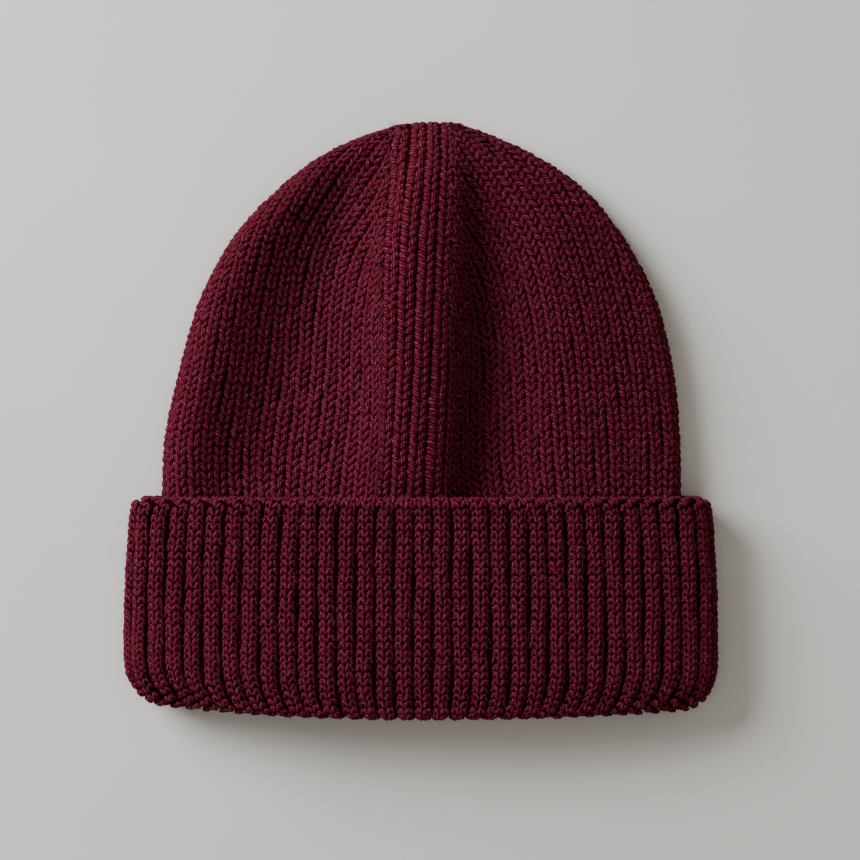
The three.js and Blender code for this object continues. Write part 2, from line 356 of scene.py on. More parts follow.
def ring_points(row, depth):
    """Closed rings across the hat, from the left foot over the folds to the right foot and
    back along the flat underside. row holds arrays of one value a ring."""
    y = row["y"]
    depth = np.broadcast_to(np.asarray(depth, float), y.shape)
    row = {name: np.broadcast_to(np.asarray(value, float), y.shape) for name, value in row.items()}
    reach = np.minimum(SIDE_REACH, (row["right"] - row["left"]) * SIDE_SHARE)
    under = np.maximum(row["under"], 0) + depth
    left, right = row["left"] + depth, row["right"] - depth
    left_top, right_top = row["leftTop"] - depth, row["rightTop"] - depth
    side = row["side"]

    def quarter(start, end):
        return start + (end - start) * ROUND

    folds = [(left + reach, under), (quarter(left, left + reach), quarter(under, side)),
             (left, side), (quarter(left, left + reach), quarter(left_top, side)),
             (left + reach, left_top)]
    folds += [(row[name + "X"], row[name + "Z"] - depth) for name in FOLDS]
    folds += [(right - reach, right_top), (quarter(right, right - reach), quarter(right_top, side)),
              (right, side), (quarter(right, right - reach), quarter(under, side)),
              (right - reach, under)]
    curve = centripetal(np.stack([np.stack(xz, axis=-1) for xz in folds], axis=1), RING_STEPS)
    curve[..., 1] = np.maximum(curve[..., 1], under[:, None])
    back = np.linspace(0, 1, FLAT_POINTS + 2)[None, 1:-1, None]
    flat = curve[:, -1:] + (curve[:, :1] - curve[:, -1:]) * back
    xz = np.concatenate([curve, flat], axis=1)
    points = np.stack([xz[..., 0], np.broadcast_to(y[:, None], xz.shape[:2]), xz[..., 1]], axis=-1)
    x = points[..., 0]
    fade = np.clip((points[..., 1] - MOUTH) / BOW_FADE, 0, 1)
    bow = (x / BOW_WIDTH) ** 2 * np.where(x < 0, BOW_LEFT, BOW_RIGHT)
    points[..., 1] += bow * (1 - eased(fade))
    return points


def along(points):
    """Length from the first point to each point of a line."""
    return np.concatenate([[0], np.cumsum(np.linalg.norm(np.diff(points, axis=0), axis=1))])


def at_lengths(points, lengths, wanted):
    """The points of a line at the wanted lengths along it."""
    return np.stack([np.interp(wanted, lengths, points[:, k]) for k in range(3)], axis=1)


def lay_out(ring, middle_x):
    """One ring as two lines, left then right. Each runs from the top middle over its side,
    which is the line's middle point, to the middle of the underside."""
    over, flat = ring[:-FLAT_POINTS], ring[-FLAT_POINTS:]
    low, high = np.argmin(over[:, 0]), np.argmax(over[:, 0])
    crest = over[low:high + 1]
    middle = np.array([middle_x] + [np.interp(middle_x, crest[:, 0], crest[:, k]) for k in (1, 2)])
    under = np.array([middle_x, flat[FLAT_POINTS // 2, 1], flat[0, 2]])
    lines = []
    for sign, part in ((-1, over[:high][::-1]), (1, over[low:])):
        part = part[sign * (part[:, 0] - middle_x) > NEAR]
        rest = flat[::-1] if sign < 0 else flat
        rest = rest[sign * (rest[:, 0] - middle_x) > NEAR]
        line = np.vstack([middle, part, rest, under])
        length = along(line)
        side = length[np.argmax(sign * line[:, 0])]
        wanted = np.concatenate([np.linspace(0, side, SIDE_POINT + 1),
                                 np.linspace(side, length[-1], SIDE_POINT + 1)[1:]])
        lines.append(at_lengths(line, length, wanted))
    return np.array(lines)


def between(grid, x, y):
    """Reads a grid of points at fractional places x, y, straight between its points."""
    x = np.clip(x, 0, grid.shape[0] - GRID_END)
    y = np.clip(y, 0, grid.shape[1] - GRID_END)
    i, j = x.astype(int), y.astype(int)
    s, t = (x - i)[..., None], (y - j)[..., None]
    near = grid[i, j] * (1 - t) + grid[i, j + 1] * t
    far = grid[i + 1, j] * (1 - t) + grid[i + 1, j + 1] * t
    return near * (1 - s) + far * s


def unit(vectors):
    return vectors / np.maximum(np.linalg.norm(vectors, axis=-1, keepdims=True), NEAR)


class Sheet:
    """A grid of points over the hat with its outward normals. u counts ribs across, v rows up.
    lean is how many rows up a step of one rib goes when it is taken square to the ribs."""

    def __init__(self, points, u, v, outward):
        self.u, self.v = u, v
        across = np.gradient(points, u, axis=0)
        up = np.gradient(points, v, axis=1)
        normal = unit(outward * np.cross(across, up))
        row = np.linalg.norm(up, axis=-1, keepdims=True)
        lean = -(across * up).sum(-1, keepdims=True) / np.maximum(row, LEAST_UP) ** 2
        pitch = np.linalg.norm(across + lean * up, axis=-1, keepdims=True)
        self.grid = np.concatenate([points, normal, pitch, row, lean], axis=-1)

    def at(self, u, v):
        """Points, normals, rib pitch, row height and lean at (u, v)."""
        x = (u - self.u[0]) / (self.u[1] - self.u[0])
        y = (v - self.v[0]) / (self.v[1] - self.v[0])
        found = between(self.grid, x, y)
        return found[..., :3], unit(found[..., 3:6]), found[..., 6], found[..., 7], found[..., 8]

    def stations(self, wale):
        """Where the stitches of one wale sit: one every STITCH_ROW, from half of one up."""
        points = self.at(np.full(len(self.v), wale), self.v)[0]
        length = along(points)
        first = 0.5 * STITCH_ROW
        count = int((length[-1] - first) / STITCH_ROW) + 1
        return np.interp(first + STITCH_ROW * np.arange(count), length, self.v)


# ---- the crown's surface, and the paths of its wales and rows over it ----

def crown_section(place):
    """The crown's sections at fractional places in their table, by name."""
    return dict(zip(CROWN_SECTIONS, smooth_through(CROWN_TABLE, place).T))


def crown_lines():
    """The crown's rings from the cuff to the tip, each as a left and a right line."""
    end = len(CROWN_TABLE) - 1
    fine = np.linspace(0, end, TABLE_STEPS)
    first = np.interp(CROWN_FIRST_Y, crown_section(fine)["y"], fine)
    row = crown_section(np.linspace(first, end, CROWN_RINGS))
    middle = np.interp(row["y"], BAND_MIDDLE_Y, BAND_MIDDLE_X)
    lines = np.array([lay_out(ring, x) for ring, x in zip(ring_points(row, 0.0), middle)])
    turn = np.linspace(0, np.pi / 2, TIP_RINGS + 1)[1:, None, None, None]
    last = lines[-1][None]
    closing = CROWN_TIP + (last - CROWN_TIP) * np.cos(turn)
    closing[..., 1] = last[..., 1] + (CROWN_TIP[1] - last[..., 1]) * np.sin(turn[..., 0])
    return np.concatenate([lines, closing])


def row_places(line, rows):
    """The ring at which each row crosses a line that runs up the crown."""
    length = along(line)
    return np.interp(rows / CROWN_ROWS * length[-1], length, np.arange(len(line)))


def nearest(points, line):
    """How far each point is from the nearest point of a line, seen from above."""
    return np.linalg.norm(points[..., None, :2] - line, axis=-1).min(-1)


class CrownHalf:
    """One side of the crown: where each row's line runs, and how many wales each point of it is
    from the hat's side. Along a row, t is 0 at the top middle, 1 at the side and 2 underneath."""

    def __init__(self, lines, side):
        self.lines = lines[:, side]
        self.outward = 1 if side == 0 else -1
        self.side = side
        self.v = np.linspace(0, CROWN_ROWS, CROWN_ROWS * ROW_PARTS + 1)
        self.t = np.linspace(0, 2, LINE_POINTS)
        middle, outline, under = (row_places(self.lines[:, k], self.v)[:, None]
                                  for k in (0, SIDE_POINT, HALF_POINTS - 1))
        t = self.t[None]
        self.place = np.where(t < 1, middle * (1 - t) + outline * t,
                              outline * (2 - t) + under * (t - 1))
        self.points = between(self.lines, self.place, np.broadcast_to(t * SIDE_POINT, self.place.shape))
        self.count = self.wales_from_side()

    def guide(self, side_line):
        """The run of a wale that starts at the hat's side and leans in less than the outline."""
        start = np.searchsorted(side_line[:, 1], GUIDE_FROM)
        y = np.arange(side_line[start, 1], WALE_HEIGHTS[-1], GUIDE_STEP)
        lean = np.tan(np.radians(np.interp(y, WALE_HEIGHTS, WALE_LEANS)))
        inward = -np.sign(side_line[start, 0])
        x = side_line[start, 0] + inward * np.cumsum(lean) * GUIDE_STEP
        return np.vstack([side_line[:start], np.stack([x, y], axis=1)])

    def even_wales(self, row):
        """Wales from the side that share out each row evenly, as many as its first row has."""
        even = []
        for under in (False, True):
            edge = [np.interp(x, self.t, r) for x, r in zip(self.band_edge(under), row)]
            reach = np.abs(edge)
            even.append(row / np.maximum(reach, 1)[:, None] * reach[0] / WALE_PITCH)
        return np.where(self.t[None] < 1, even[0], even[1])

    def guided_wales(self, row):
        """Wales from the side that keep one spacing and run beside the guide."""
        side_line = self.lines[:, SIDE_POINT, :2]
        run = side_line[0] + (side_line[0] - side_line[RUN_ON_RINGS]) * RUN_ON_STEPS[:, None]
        flat = nearest(self.points, np.vstack([run, side_line]))
        beside = nearest(self.points, np.vstack([run, self.guide(side_line)]))
        sample = self.lines[CROWN_RINGS // 2][SIDE_POINT::-1]
        beside = beside + np.interp(flat, np.abs(sample[:, 0] - sample[0, 0]), along(sample)) - flat
        below = beside[:, AT_SIDE:AT_SIDE + 1] + row
        return np.where(self.t[None] < 1, beside, below) / WALE_PITCH

    def wales_from_side(self):
        """Low on the crown the wales share out each row evenly. Higher up they run beside the
        guide, so the outer ones pass over the hat's side. Nowhere are they too close or wide."""
        gaps = np.linalg.norm(np.diff(self.points, axis=1), axis=-1)
        row = np.concatenate([np.zeros((len(self.v), 1)), np.cumsum(gaps, axis=1)], axis=1)
        row = row[:, AT_SIDE:AT_SIDE + 1] - row
        fade = eased(np.clip((self.points[:, :1, 1] - FAN_START) / (FAN_END - FAN_START), 0, 1))
        count = self.even_wales(row) * (1 - fade) + self.guided_wales(row) * fade
        natural = np.diff(row, axis=1) / WALE_PITCH
        step = np.clip(np.diff(count, axis=1), natural * CLOSEST, natural * WIDEST)
        return np.concatenate([count[:, :1], count[:, :1] + np.cumsum(step, axis=1)], axis=1)

    def band_edge(self, under):
        """Where along each row's line the middle band's edge is."""
        return self.from_middle(BAND_EDGES[-1 if self.side else 0], under)

    def from_middle(self, rib, under):
        """Where along each row's line a place in the middle band is, by its distance across."""
        outward = slice(None, AT_SIDE - 1, -1) if under else slice(AT_SIDE + 1)
        points, t = self.points[:, outward], self.t[outward]
        columns = [np.interp(points[:, 0, 1], BAND_HEIGHTS, reach) for reach in BAND_REACH.T]
        width = np.abs([np.interp(rib, BAND_EDGES, column) for column in zip(*columns)])
        across = np.abs(points[..., 0] - points[:, :1, 0])
        return np.array([np.interp(w, x, t) for w, x in zip(width, across)])

    def sheet(self):
        """The wales beside the hat's side line, where u is 0, and how many of them each row has
        to the band's edge on top and below."""
        top, below = (np.array([np.interp(x, self.t, count)
                                for x, count in zip(self.band_edge(under), self.count)])
                      for under in (False, True))
        u = np.arange(-WALE_REACH, WALE_REACH + STEP_OVER, SHEET_STEP)
        squeezed = top + TUCK - softplus((top + TUCK - u[:, None]) / SQUEEZE) * SQUEEZE
        squeezed = below - TUCK + softplus((squeezed - below + TUCK) / SQUEEZE) * SQUEEZE
        t = np.array([np.interp(-x, -count, self.t) for x, count in zip(squeezed.T, self.count)]).T
        place = np.array([np.interp(x, self.t, p) for x, p in zip(t.T, self.place)]).T
        points = between(self.lines, place, t * SIDE_POINT)
        return Sheet(points, u, self.v, self.outward), top, below


def softplus(x):
    """0 well below 0 and x well above it."""
    return np.logaddexp(0, x)


def band_sheet(halves, under):
    """The ribs up the middle of the crown. u is 0 in the third one, positive to the right."""
    u = np.arange(BAND_EDGES[0] - BAND_SPARE, BAND_EDGES[-1] + BAND_SPARE + STEP_OVER, SHEET_STEP)
    columns = []
    for rib in u:
        half = halves[0] if rib < 0 else halves[1]
        t = half.from_middle(rib, under)
        ring = np.array([np.interp(x, half.t, p) for x, p in zip(t, half.place)])
        columns.append(between(half.lines, ring, t * SIDE_POINT))
    return Sheet(np.array(columns), u, halves[0].v, -1 if under else 1)


# ---- the cuff's surface ----

def fold_drop(y):
    """How far the cuff's face sinks as it comes down to the fold."""
    share = np.clip((EASE_FROM - y) / (EASE_FROM - MOUTH - FOLD_DEPTH), 0, 1)
    return FOLD_EASE * share ** 2


def cuff_profile():
    """From inside the mouth, round the fold, up the outer face, over the rolled top edge and a
    little way down inside it: y, depth below the outer face, and length."""
    turn = np.linspace(0, np.pi, TURN_POINTS)
    lip = np.linspace(LIP_TOP, FOLD_TOP, LIP_POINTS)[:-1]
    face = np.linspace(FOLD_TOP, ROLL_START, FACE_POINTS)[1:-1]
    inside = np.linspace(ROLL_START, INSIDE_END, INSIDE_POINTS)[1:]
    y = np.concatenate([lip, FOLD_TOP - FOLD_DEPTH * np.sin(turn), face,
                        ROLL_START + CUFF_ROLL * np.sin(turn), inside])
    depth = np.concatenate([np.full(len(lip), HOOK_DEPTH),
                            FOLD_EASE + (HOOK_DEPTH - FOLD_EASE) / 2 * (1 + np.cos(turn)),
                            fold_drop(face), CUFF_WALL / 2 * (1 - np.cos(turn)),
                            np.full(len(inside), CUFF_WALL)])
    return y, depth, along(np.stack([y, depth, 0 * y], axis=1))


def cuff_rings(y, depth):
    """Rings round the cuff at these heights, so far in from its outer face."""
    fine = np.linspace(0, len(CUFF_OUTLINE) - 1, TABLE_STEPS)
    place = np.interp(y, smooth_through(CUFF_OUTLINE, fine)[:, 0], fine)
    _, left, right = smooth_through(CUFF_OUTLINE, place).T
    return ring_points({**CUFF_HEIGHTS, "y": y, "left": left, "right": right}, depth)


def cuff_sheet():
    """The cuff's ribs all the way round, from its top middle to the right and back."""
    y, depth, length = cuff_profile()
    v = np.arange(0, length[-1] / CUFF_ROW, CUFF_STEP)
    y, depth = (np.interp(v * CUFF_ROW, length, x) for x in (y, depth))
    u = np.arange(-1, CUFF_RIBS + 1 + STEP_OVER, SHEET_STEP)
    columns = []
    for ring in cuff_rings(y, depth):
        left, right = lay_out(ring, CUFF_MIDDLE_X)
        loop = np.vstack([right, left[-2::-1]])
        lengths = along(loop)
        columns.append(at_lengths(loop, lengths, (u % CUFF_RIBS) / CUFF_RIBS * lengths[-1]))
    return Sheet(np.array(columns).transpose(1, 0, 2), u, v, 1)


# ---- yarn: each leg of a stitch is a short length of it, one closed tube ----

def leg_paths(sheet, wale, row, leg, knit, steps, chance):
    """The middle line of each leg: points, normals and the local scale, (legs, steps, ...)."""
    s = np.linspace(0, 1, steps)[None]
    wander = chance.normal(0, 1, (len(wale), 4))
    start, end, foot, head = (x[:, None] for x in np.array(knit["legs"])[leg].T)
    angle = start + (end - start) * s ** knit["bend"]
    across = knit["round"] * np.sin(angle)
    across = across + STRAY_ACROSS * wander[:, :1] + STRAY_ACROSS * wander[:, 3:] * (s - 0.5)
    up = foot + (head - foot) * s + STRAY_ALONG * wander[:, 1:2]
    _, _, pitch, high, lean = sheet.at(wale, row)
    scale = np.clip(pitch / knit["pitch"], *SCALES)[:, None]
    up = up * (knit["row"] / np.maximum(high, LEAST_ROW))[:, None]
    up = up + np.clip(lean, -MOST_LEAN, MOST_LEAN)[:, None] * across
    points, normals, _, _, _ = sheet.at(wale[:, None] + across, row[:, None] + up)
    dive = np.where(s < 0.5, knit["foot_dive"], knit["head_dive"]) * np.abs(2 * s - 1) ** DIVE_POWER
    drawn_in = np.clip((points[..., 1] - DRAWN_FROM) / DRAWN_FADE, 0, 1)
    drawn_in = drawn_in * np.clip((DRAWN_X - points[..., 0]) / DRAWN_FADE, 0, 1)
    relief = knit["relief"] + DRAWN_RELIEF * drawn_in
    height = -knit["pitch"] * knit["round"] * relief * (1 - np.cos(angle)) - dive - knit["depth"]
    height = height * scale + STRAY_UP * wander[:, 2:3]
    return points + normals * height[..., None], normals, scale[:, 0]


def tubes(centre, radius, level, sides):
    """Closed tubes round lines of points: (tubes, steps, 3) and (tubes, steps). level is a
    direction that each ring's first side faces."""
    ahead = np.gradient(centre, axis=1)
    ahead /= np.linalg.norm(ahead, axis=-1, keepdims=True)
    over = level - ahead * (level * ahead).sum(-1, keepdims=True)
    over /= np.linalg.norm(over, axis=-1, keepdims=True)
    cross = np.cross(ahead, over)
    turn = np.linspace(0, 2 * np.pi, sides, endpoint=False)[None, None, :, None]
    ring = np.cos(turn) * over[:, :, None] + np.sin(turn) * cross[:, :, None]
    rings = centre[:, :, None] + radius[:, :, None, None] * ring
    rings[..., 2] = np.maximum(rings[..., 2], FLOOR_CLEAR)
    return rings


def wall_places(steps, sides):
    """How far along and round a tube the corners of its wall's quads are, 0 to 1."""
    i, j = np.meshgrid(np.arange(steps - 1), np.arange(sides), indexing="ij")
    return (np.stack([i, i, i + 1, i + 1], axis=-1)[None] / (steps - 1),
            np.stack([j, j + 1, j + 1, j], axis=-1)[None] / sides)


def cap_places(sides):
    """Where on a tube's square the corners of its two ends are, (2, sides, 2)."""
    turn = np.linspace(0, 2 * np.pi, sides, endpoint=False)
    x, y = CAP_RADII[0] * np.cos(turn), CAP_RADII[1] * np.sin(turn)
    return np.stack([np.stack([place + x, 0.5 + y], axis=-1) for place in CAP_PLACES])


class Cloth:
    """Collects tubes and makes one mesh of them."""

    def __init__(self):
        self.parts = []

    def add(self, rings, tone, length):
        self.parts.append((rings, tone, length))

    def build(self, name, material):
        tiles = math.ceil(math.sqrt(sum(len(rings) for rings, _, _ in self.parts)))
        places, corners, sizes, maps, strands, tones = [], [], [], [], [], []
        first_point = first_tile = 0
        for rings, tone, length in self.parts:
            count, steps, sides = rings.shape[:3]
            index = first_point + np.arange(count * steps * sides).reshape(count, steps, sides)
            beside = np.roll(index, -1, axis=2)
            quads = np.stack([index[:, :-1], beside[:, :-1], beside[:, 1:], index[:, 1:]], axis=-1)
            caps = np.stack([index[:, 0, ::-1], index[:, -1]], axis=1)
            far_along, far_round = wall_places(steps, sides)
            tile = first_tile + np.arange(count)
            corner = np.stack([tile % tiles, tile // tiles], axis=-1)[:, None, None, None]
            wall_map = WALL_START + WALL_SPAN * np.stack([far_along, far_round], axis=-1)
            wall_map = (corner + wall_map) / tiles
            cap_map = (corner[:, :, 0] + cap_places(sides)) / tiles
            strand = np.stack([far_along * length[:, None, None, None],
                               np.broadcast_to(far_round, (count,) + far_round.shape[1:])], axis=-1)
            places.append(rings.reshape(-1, 3))
            tones.append(np.broadcast_to(tone[:, None, None], (count, steps, sides)).ravel())
            corners += [quads.ravel(), caps.ravel()]
            sizes += [np.full(quads.size // 4, 4), np.full(count * 2, sides)]
            maps += [wall_map.reshape(-1, 2), cap_map.reshape(-1, 2)]
            strands += [strand.reshape(-1, 2), np.zeros((count * 2 * sides, 2))]
            first_point += index.size
            first_tile += count
        layers = {"OFBake": np.concatenate(maps), "strand": np.concatenate(strands)}
        return mesh_piece(name, np.concatenate(places), np.concatenate(corners),
                          np.concatenate(sizes), material, layers, np.concatenate(tones))


def mesh_piece(name, points, corners, sizes, material, maps, tone):
    """A piece from its points and the corners of its faces, with its maps and yarn tones."""
    mesh = bpy.data.meshes.new(name)
    mesh.vertices.add(len(points))
    mesh.vertices.foreach_set("co", (points * MM).astype(np.float32).ravel())
    mesh.loops.add(len(corners))
    mesh.loops.foreach_set("vertex_index", corners.astype(np.int32))
    mesh.polygons.add(len(sizes))
    starts = np.concatenate([[0], np.cumsum(sizes)[:-1]]).astype(np.int32)
    mesh.polygons.foreach_set("loop_start", starts)
    mesh.polygons.foreach_set("use_smooth", np.ones(len(sizes), bool))
    for layer, places in maps.items():
        mesh.uv_layers.new(name=layer).data.foreach_set("uv", places.astype(np.float32).ravel())
    mesh.attributes.new("tone", "FLOAT", "POINT").data.foreach_set("value", tone.astype(np.float32))
    mesh.update()
    mesh.validate()
    mesh.materials.append(material)
    piece = bpy.data.objects.new(name, mesh)
    bpy.context.scene.collection.objects.link(piece)
    return piece


def add_legs(cloth, sheet, wale, row, leg, knit, seen, chance):
    """Adds legs of stitches. Those that are seen are rounder."""
    if len(wale) == 0:
        return
    steps = SEEN_STEPS if seen else HIDDEN_STEPS
    centre, normals, scale = leg_paths(sheet, wale, row, leg, knit, steps, chance)
    centre[..., 1] = np.minimum(centre[..., 1], TIP_LIMIT)
    s = np.linspace(0, 1, steps)[None]
    taper = 1 - knit["taper"] * np.abs(2 * s - 1) ** TAPER_POWER
    radius = knit["thick"] * scale[:, None] * taper * chance.normal(1, YARN_VARIES, (len(wale), 1))
    length = np.linalg.norm(np.diff(centre, axis=1), axis=-1).sum(1)
    rings = tubes(centre, radius, normals, knit["sides"] if seen else HIDDEN_SIDES)
    cloth.add(rings, chance.normal(0, 1, len(wale)), length)


def add_fuzz(cloth, sheet, count, rib_span, row_span, sides_share, chance):
    """Adds loose fibres that stand up out of the wool, more of them on the hat's sides."""
    wale = chance.uniform(*rib_span, count * FUZZ_TRIES)
    row = chance.uniform(*row_span, count * FUZZ_TRIES)
    upward = sheet.at(wale, row)[1][:, 2]
    wanted = np.where(np.abs(upward) < FUZZ_SIDE_SLOPE, sides_share, 1 - sides_share)
    wanted = wanted * (upward > FUZZ_LOWEST)
    pick = np.flatnonzero(chance.uniform(0, 1, len(wale)) < wanted)[:count]
    points, normals, _, _, _ = sheet.at(wale[pick], row[pick])
    wander = chance.normal(0, 1, (2, len(pick), 3))
    way = normals * FUZZ_STAND + wander[0] * FUZZ_STRAY
    curl = wander[1] * FUZZ_CURL
    length = chance.uniform(*FUZZ_LENGTH, (len(pick), 1, 1))
    s = np.linspace(0, 1, FUZZ_RINGS)[None, :, None]
    centre = points[:, None] - normals[:, None] * FUZZ_ROOT
    centre = centre + length * (way[:, None] * s + curl[:, None] * s * s)
    radius = FUZZ_RADIUS * (1 - FUZZ_THINS * s[..., 0]) * np.ones((len(pick), 1))
    rings = tubes(centre, radius, np.cross(normals, way)[:, None] + 0 * centre, FUZZ_SIDES)
    cloth.add(rings, wander[0, :, 0], length[:, 0, 0])


# ---- materials ----

class Shade:
    """A value on a surface. Sums, products and powers of values add their Math nodes."""

    def __init__(self, tree, socket):
        self.tree, self.socket = tree, socket

    def maths(self, operation, other, swapped=False):
        sides = (other, self) if swapped else (self, other)
        return self.tree.add("ShaderNodeMath", {"operation": operation}, {0: sides[0], 1: sides[1]})

    def __add__(self, other):
        return self.maths("ADD", other)

    def __sub__(self, other):
        return self.maths("SUBTRACT", other)

    def __rsub__(self, other):
        return self.maths("SUBTRACT", other, True)

    def __mul__(self, other):
        return self.maths("MULTIPLY", other)

    def __pow__(self, other):
        return self.maths("POWER", other)

    def __rpow__(self, other):
        return self.maths("POWER", other, True)

    __radd__, __rmul__ = __add__, __mul__


class Finish:
    """A material and its nodes."""

    def __init__(self, name):
        self.material = bpy.data.materials.new(name)
        self.material.use_nodes = True
        self.nodes = self.material.node_tree.nodes
        self.links = self.material.node_tree.links
        self.shader = self.nodes["Principled BSDF"]

    def put(self, socket, value):
        if isinstance(value, Shade):
            self.links.new(value.socket, socket)
        else:
            socket.default_value = value

    def add(self, kind, settings=None, inputs=None, output=0):
        """A node of any kind: its settings first, then its sockets' values or links."""
        node = self.nodes.new(kind)
        for name, value in (settings or {}).items():
            setattr(node, name, value)
        for name, value in (inputs or {}).items():
            self.put(node.inputs[name], value)
        return Shade(self, node.outputs[output])

    def noise(self, place, scale, detail=2.0, roughness=0.5):
        return self.add("ShaderNodeTexNoise", {}, {"Vector": place, "Scale": scale,
                                                   "Detail": detail, "Roughness": roughness})

    def mix(self, factor, a, b):
        """Colour a where the factor is 0, and b where it is 1."""
        return self.add("ShaderNodeMix", {"data_type": "RGBA"}, {0: factor, 6: a, 7: b}, 2)

    def surface(self, **sockets):
        for name, value in sockets.items():
            self.put(self.shader.inputs[name.replace("_", " ")], value)
        return self.material


def darker(colour, share):
    return (*(part * (1 - share) for part in colour[:3]), 1)


def wool_yarn(name, painted_shade_share):
    """Burgundy wool: strands wound round each other, with painted shade in the grooves between strands
    and on the yarn's sides, and pale flecks that are partly the fibres' own tone and partly painted
    highlights. The last argument is a share of painted shade: how much darker than the cuff's wool it
    is coloured."""
    wool = Finish(name)
    place = wool.add("ShaderNodeUVMap", {"uv_map": "strand"})
    length, turn = (wool.add("ShaderNodeSeparateXYZ", {}, {"Vector": place}, axis) for axis in "XY")
    tone = wool.add("ShaderNodeAttribute", {"attribute_name": "tone"}, output="Fac")
    spot = wool.add("ShaderNodeTexCoord", output="Object")
    stray = wool.noise(spot, 900.0)
    # The strands wind round the yarn, each a little out of step with its neighbour.
    wind = length * (1 / STRAND_SPACING) + turn * STRANDS + tone * 0.4 + stray * 1.1
    strand = (wind.maths("PINGPONG", 0.5) * 2) ** 0.9
    # Painted shade and highlight by how the yarn faces: its top is coloured lighter, its sides and
    # underside darker.
    painted_top_light = (turn * (2 * math.pi)).maths("COSINE", 0.0)
    # Fibres lie along the strands; finer ones stand up anywhere.
    lie = wool.add("ShaderNodeCombineXYZ", {}, {"X": wind * 2.6, "Y": length * 0.7, "Z": tone * 3.0})
    fibres = wool.noise(lie, 1.5, detail=4.0, roughness=0.8)
    fuzz = wool.noise(spot, 1700.0)
    patch = wool.noise(spot, 60.0)
    # The base colour: random tone from the patches and each leg's tone, and painted shade in the
    # grooves between strands and on the yarn's sides.
    tone_and_painted_shade = strand * 0.65 + patch * 0.3 + painted_top_light * 0.3 + tone * 0.06 - 0.2
    base = wool.mix(tone_and_painted_shade, darker(DEEP_WOOL, painted_shade_share), darker(RICH_WOOL, painted_shade_share))
    # Pale flecks: the fibres' own paler tone, and painted highlights on the strands' tops and on the
    # yarn's top.
    fibre_tone_and_highlight = fibres * 0.55 + fuzz * 0.27 + strand * 0.18 + painted_top_light * 0.05 - 0.045
    pale_fibre_and_highlight = wool.add("ShaderNodeMapRange", {"interpolation_type": "SMOOTHSTEP"},
                      {"Value": fibre_tone_and_highlight, "From Min": 0.48, "From Max": 0.72,
                       "To Min": 0.0, "To Max": 0.72})
    colour = wool.mix(pale_fibre_and_highlight, base, darker(PALE_FIBRE_AND_HIGHLIGHT, painted_shade_share))
    depth = strand * 0.55 + fibres * 0.32 + fuzz * 0.13
    bump = wool.add("ShaderNodeBump", {}, {"Strength": 0.7, "Distance": 0.00025, "Height": depth})
    return wool.surface(Base_Color=colour, Roughness=0.8, Sheen_Weight=0.02, Sheen_Roughness=0.4,
                        Sheen_Tint=WOOL_SHEEN, Specular_IOR_Level=0.02, Normal=bump)


def loose_fibre():
    """Single fibres of the wool, paler than the yarn because light comes through them."""
    fibre = Finish("burgundy_wool_fibre")
    spot = fibre.add("ShaderNodeTexCoord", output="Object")
    blend = fibre.noise(spot, 300.0)
    return fibre.surface(Base_Color=fibre.mix(blend, FIBRE_DARK, FIBRE_LIGHT), Roughness=0.8,
                         Specular_IOR_Level=0.05)


def backing_cloth(name, dark, light):
    """The back of the knit, seen only between stitches and inside the mouth, coloured far darker
    than the yarn as painted shade there.
    """
    cloth = Finish(name)
    spot = cloth.add("ShaderNodeTexCoord", output="Object")
    lumps = cloth.add("ShaderNodeTexVoronoi", {}, {"Vector": spot, "Scale": 420.0})
    fuzz = cloth.noise(spot, 2200.0)
    bump = cloth.add("ShaderNodeBump", {},
                     {"Strength": 0.9, "Distance": 0.0006, "Height": 1.0 - lumps})
    return cloth.surface(Base_Color=cloth.mix(fuzz, dark, light), Roughness=0.95,
                         Specular_IOR_Level=0.01, Normal=bump)


def floor_finish():
    floor = Finish("pale_floor")
    spot = floor.add("ShaderNodeTexCoord", output="Object")
    soft = floor.noise(spot, 9.0, detail=4.0)
    return floor.surface(Base_Color=floor.mix(soft, FLOOR_DARK, FLOOR_LIGHT), Roughness=0.9)


# ---- knitting the hat ----

def tops(sheet, wale, row):
    """Which stitches aren't on the underside."""
    return sheet.at(wale, row)[1][:, 2] > UNDER_SLOPE


def sway(wale, row, waves):
    return sum(size * np.sin(row * for_row + wale * for_rib) for size, for_row, for_rib in waves)


def all_legs(wale, row, knit):
    """Every leg of these stitches: its wale, its row and which leg it is."""
    count = len(knit["legs"])
    return np.tile(wale, count), np.tile(row, count), np.repeat(np.arange(count), len(wale))


def stitch_places(sheet, wales):
    """The wale and row of every stitch in these wales, in step with its neighbours."""
    rows = [sheet.stations(wale) for wale in wales]
    return np.repeat(wales, [len(r) for r in rows]), np.concatenate(rows)


def knit_crown_half(cloths, half, name, chance):
    """The wales to one side of the band, over the hat's side and back under it."""
    sheet, top, below = half.sheet()
    wale, row = stitch_places(sheet, np.arange(-WALES, WALES) + 0.5)
    place, _, pitch, _, _ = sheet.at(wale, row)
    keep = wale < np.interp(row, half.v, top) + EDGE_SPARE
    keep &= wale > np.interp(row, half.v, below) - EDGE_SPARE
    keep &= (pitch > LEAST_PITCH * WALE_PITCH) & (place[:, 1] < LAST_Y) & (row < LAST_ROW)
    wale, row = wale[keep], row[keep]
    wale, row, leg = all_legs(wale + sway(wale, row, CROWN_SWAY), row, SMOOTH_KNIT)
    on_top = tops(sheet, wale, row)
    for seen, cloth in ((True, "crown_stitches_" + name), (False, "crown_underside")):
        pick = on_top == seen
        add_legs(cloths[cloth], sheet, wale[pick], row[pick], leg[pick], SMOOTH_KNIT, seen, chance)
    add_fuzz(cloths["crown_fuzz"], sheet, CROWN_FUZZ, rib_span=(below.min(), top.max()),
             row_span=(0, FUZZ_LAST_ROW), sides_share=0.85,
             chance=np.random.default_rng(CROWN_FUZZ_SEED + half.side))


